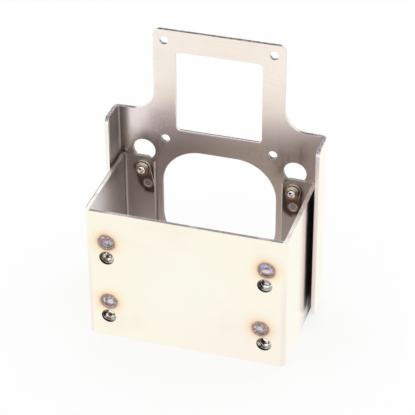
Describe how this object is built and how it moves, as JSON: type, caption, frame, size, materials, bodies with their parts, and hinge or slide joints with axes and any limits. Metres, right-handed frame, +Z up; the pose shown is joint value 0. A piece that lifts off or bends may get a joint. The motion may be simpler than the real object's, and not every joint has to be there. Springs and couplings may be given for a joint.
{
  "type": "mounting bracket",
  "caption": "Folded stainless bracket: a tall motor plate with a square window, side flanges and an open box screwed to its front.",
  "frame": {"origin": "on the surface the bracket stands on, at the middle of its width and of its overall depth", "axes": "+Z up the motor face, +X to the right seen from the front panel, +Y towards the back of the back plate"},
  "size_m": [0.1316, 0.0732, 0.1742],
  "materials": {
    "plate_steel": "grained stainless sheet",
    "box_steel": "grained stainless sheet, heat tint at the welds",
    "nut_steel": "turned stainless, tinted by welding",
    "screw_steel": "plain stainless"
  },
  "bodies": {
    "root": {"back_plate": "plate_steel", "box": "box_steel", "panel_nut_upper_left": "nut_steel", "panel_nut_upper_right": "nut_steel", "panel_nut_lower_left": "nut_steel", "panel_nut_lower_right": "nut_steel", "joint_nut_upper_left": "nut_steel", "joint_nut_upper_right": "nut_steel", "joint_nut_lower_left": "nut_steel", "joint_nut_lower_right": "nut_steel", "joint_screw_upper_left": "screw_steel", "joint_screw_upper_right": "screw_steel", "joint_screw_lower_left": "screw_steel", "joint_screw_lower_right": "screw_steel"}
  },
  "joints": []
}
